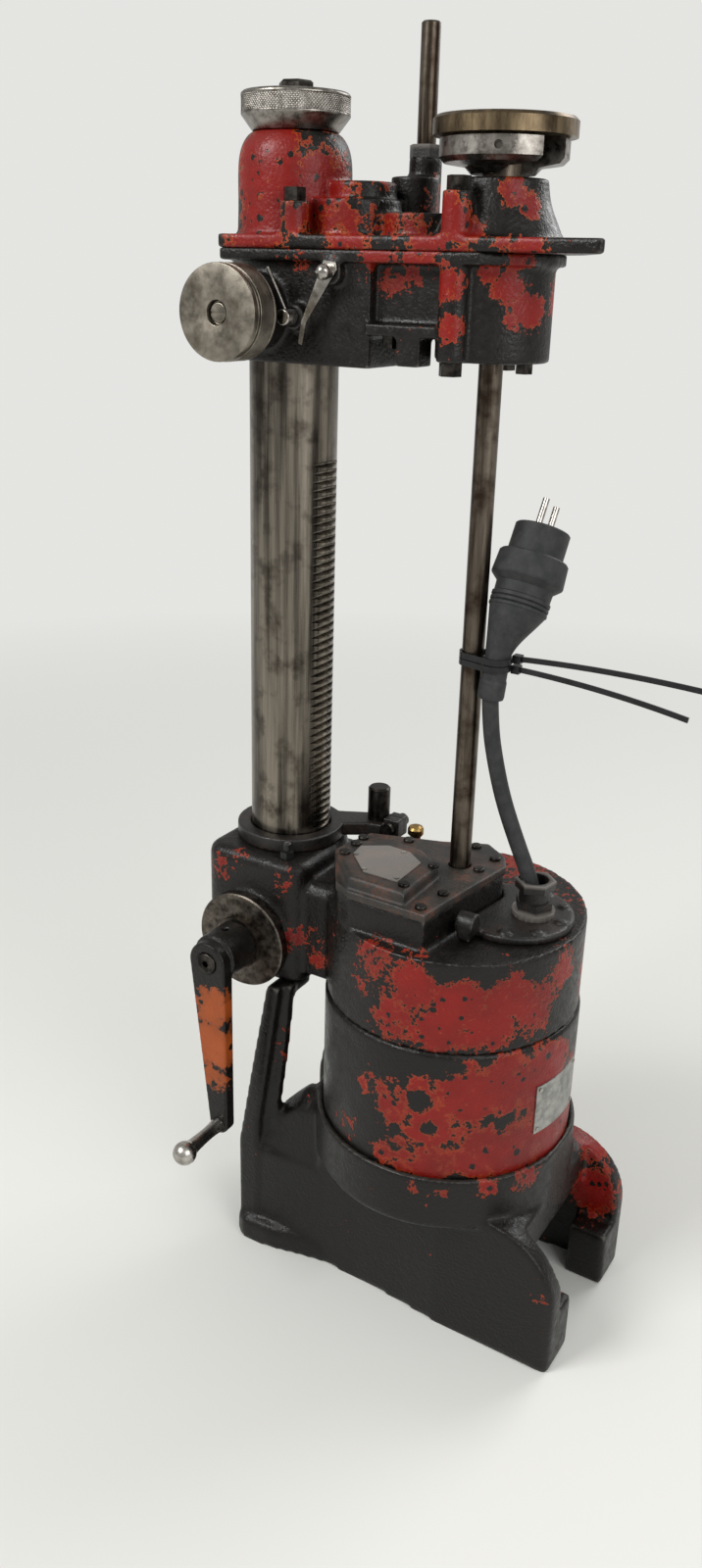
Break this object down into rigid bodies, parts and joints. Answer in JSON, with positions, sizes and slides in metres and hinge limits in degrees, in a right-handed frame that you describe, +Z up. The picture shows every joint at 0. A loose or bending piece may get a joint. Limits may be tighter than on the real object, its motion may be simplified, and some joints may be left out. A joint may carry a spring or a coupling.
{
  "type": "cylinder boring bar",
  "caption": "Portable cylinder boring bar: motor on a forked foot, cranked rack bar in a guide, and a geared head with dial, knob, stop rod and hand wheel.",
  "frame": {"origin": "on the motor axis, at the underside of the foot", "axes": "+Z up along the bar, +X from the bar to the motor, -Y to the side of the crank and dial"},
  "size_m": [0.3781, 0.2724, 0.934],
  "materials": {
    "black_iron": "greasy, near black, worn paint",
    "brass": "tarnished",
    "bright_steel": "polished or knurled steel",
    "bronze": "machined bronze",
    "copper": "varnished winding",
    "crank_paint": "orange paint, chipped",
    "dark_steel": "darkened steel",
    "nylon": "black nylon",
    "plate": "thin etched plate, bare",
    "red_enamel": "red enamel, chipped to black",
    "rubber": "matt black rubber",
    "steel": "turned, satin, oily"
  },
  "bodies": {
    "root": {"foot_casting": "black_iron", "foot_bolts": "dark_steel", "motor_shell": "red_enamel", "rating_plate": "plate", "stator_core": "steel", "stator_windings": "copper", "motor_bearings": "steel", "frame_casting": "red_enamel", "bronze_bushes": "bronze", "guide_ring": "black_iron", "ring_clamp_bolt": "dark_steel", "stop_post": "dark_steel", "oil_cup": "dark_steel", "gearbox_cover": "black_iron", "cover_screws": "dark_steel", "cover_plate": "black_iron", "plate_rivets": "bright_steel", "terminal_cover": "black_iron", "cable_gland": "black_iron", "cord": "rubber", "plug_body": "rubber", "plug_pins": "bright_steel", "cable_ties": "nylon"},
    "drive": {"drive_shaft": "steel", "rotor": "steel", "coupling_gear": "steel"},
    "feed": {"feed_shaft": "steel"},
    "plunger": {"plunger": "brass"},
    "pinion": {"pinion_shaft": "steel", "pinion_gear": "steel"},
    "crank": {"crank_shaft": "steel", "crank_collar": "bright_steel", "crank_arm": "crank_paint", "crank_screw": "dark_steel"},
    "handle": {"crank_handle": "bright_steel"},
    "head": {"bar_tube": "steel", "bar_bearings": "steel", "head_case": "red_enamel", "head_cover": "red_enamel", "head_bolts": "dark_steel", "idler_pins": "steel", "head_bearings": "steel", "stop_rod_gland": "dark_steel", "detent_spring": "bright_steel", "detent_screws": "bright_steel"},
    "spindle": {"spindle": "steel", "spindle_gear": "steel", "cutter_head": "steel", "cutter_bit": "steel"},
    "idler_a": {"idler_gear_a": "steel"},
    "idler_b": {"idler_gear_b": "steel"},
    "sleeve": {"sleeve_gear": "steel", "hand_wheel": "steel", "wheel_rim": "brass"},
    "knob": {"centring_knob": "bright_steel", "knob_stud": "dark_steel"},
    "dial": {"dial": "bright_steel", "dial_screw": "bright_steel"},
    "pawl": {"detent_pawl": "bright_steel"},
    "stop_rod": {"stop_rod": "steel"}
  },
  "joints": [
    {"name": "drive_spin", "type": "hinge", "parent": "root", "child": "drive", "pos_m": [0, 0, 0.3], "axis": [0, 0, 1], "continuous": true},
    {"name": "feed_spin", "type": "hinge", "parent": "root", "child": "feed", "pos_m": [-0.036, -0.027, 0.35], "axis": [0, 0, 1], "continuous": true},
    {"name": "bar_slide", "type": "slide", "parent": "root", "child": "head", "axis": [0, 0, 1], "range_m": [-0.095, 0]},
    {"name": "pinion_spin", "type": "hinge", "parent": "root", "child": "pinion", "pos_m": [-0.11275, 0, 0.288], "axis": [0, 1, 0], "range_deg": [-478, 4]},
    {"name": "crank_spin", "type": "hinge", "parent": "root", "child": "crank", "pos_m": [-0.154, -0.07, 0.288], "axis": [0, 1, 0], "range_deg": [-8, 719]},
    {"name": "handle_spin", "type": "hinge", "parent": "crank", "child": "handle", "pos_m": [-0.1455, -0.138, 0.142], "axis": [0, 1, 0], "continuous": true},
    {"name": "spindle_spin", "type": "hinge", "parent": "head", "child": "spindle", "pos_m": [-0.154, 0, 0.5], "axis": [0, 0, 1], "continuous": true},
    {"name": "idler_a_spin", "type": "hinge", "parent": "head", "child": "idler_a", "pos_m": [-0.102, 0, 0.777], "axis": [0, 0, 1], "continuous": true},
    {"name": "idler_b_spin", "type": "hinge", "parent": "head", "child": "idler_b", "pos_m": [-0.054, 0, 0.777], "axis": [0, 0, 1], "continuous": true},
    {"name": "sleeve_spin", "type": "hinge", "parent": "head", "child": "sleeve", "pos_m": [0, 0, 0.8], "axis": [0, 0, 1], "continuous": true},
    {"name": "knob_spin", "type": "hinge", "parent": "head", "child": "knob", "pos_m": [-0.154, 0, 0.88], "axis": [0, 0, 1], "continuous": true},
    {"name": "dial_spin", "type": "hinge", "parent": "head", "child": "dial", "pos_m": [-0.154, -0.08, 0.756], "axis": [0, 1, 0], "continuous": true},
    {"name": "pawl_tilt", "type": "hinge", "parent": "head", "child": "pawl", "pos_m": [-0.122, -0.055, 0.754], "axis": [0, 1, 0], "range_deg": [0, 6], "stiffness_Nm_per_rad": 0.2},
    {"name": "stop_rod_slide", "type": "slide", "parent": "head", "child": "stop_rod", "axis": [0, 0, 1], "range_m": [-0.12, 0.02]},
    {"name": "plunger_push", "type": "slide", "parent": "root", "child": "plunger", "axis": [0, 0, 1], "range_m": [-0.006, 0], "stiffness_N_per_m": 200}
  ],
  "couplings": [
    {"joint": "feed_spin", "follows": "drive_spin", "ratio": -0.5},
    {"joint": "sleeve_spin", "follows": "drive_spin", "ratio": 1},
    {"joint": "idler_b_spin", "follows": "drive_spin", "ratio": -1.0769},
    {"joint": "idler_a_spin", "follows": "drive_spin", "ratio": 1.2727},
    {"joint": "spindle_spin", "follows": "drive_spin", "ratio": -0.93333},
    {"joint": "pinion_spin", "follows": "bar_slide", "rad_per_m": 87.266},
    {"joint": "crank_spin", "follows": "bar_slide", "rad_per_m": -130.9}
  ]
}
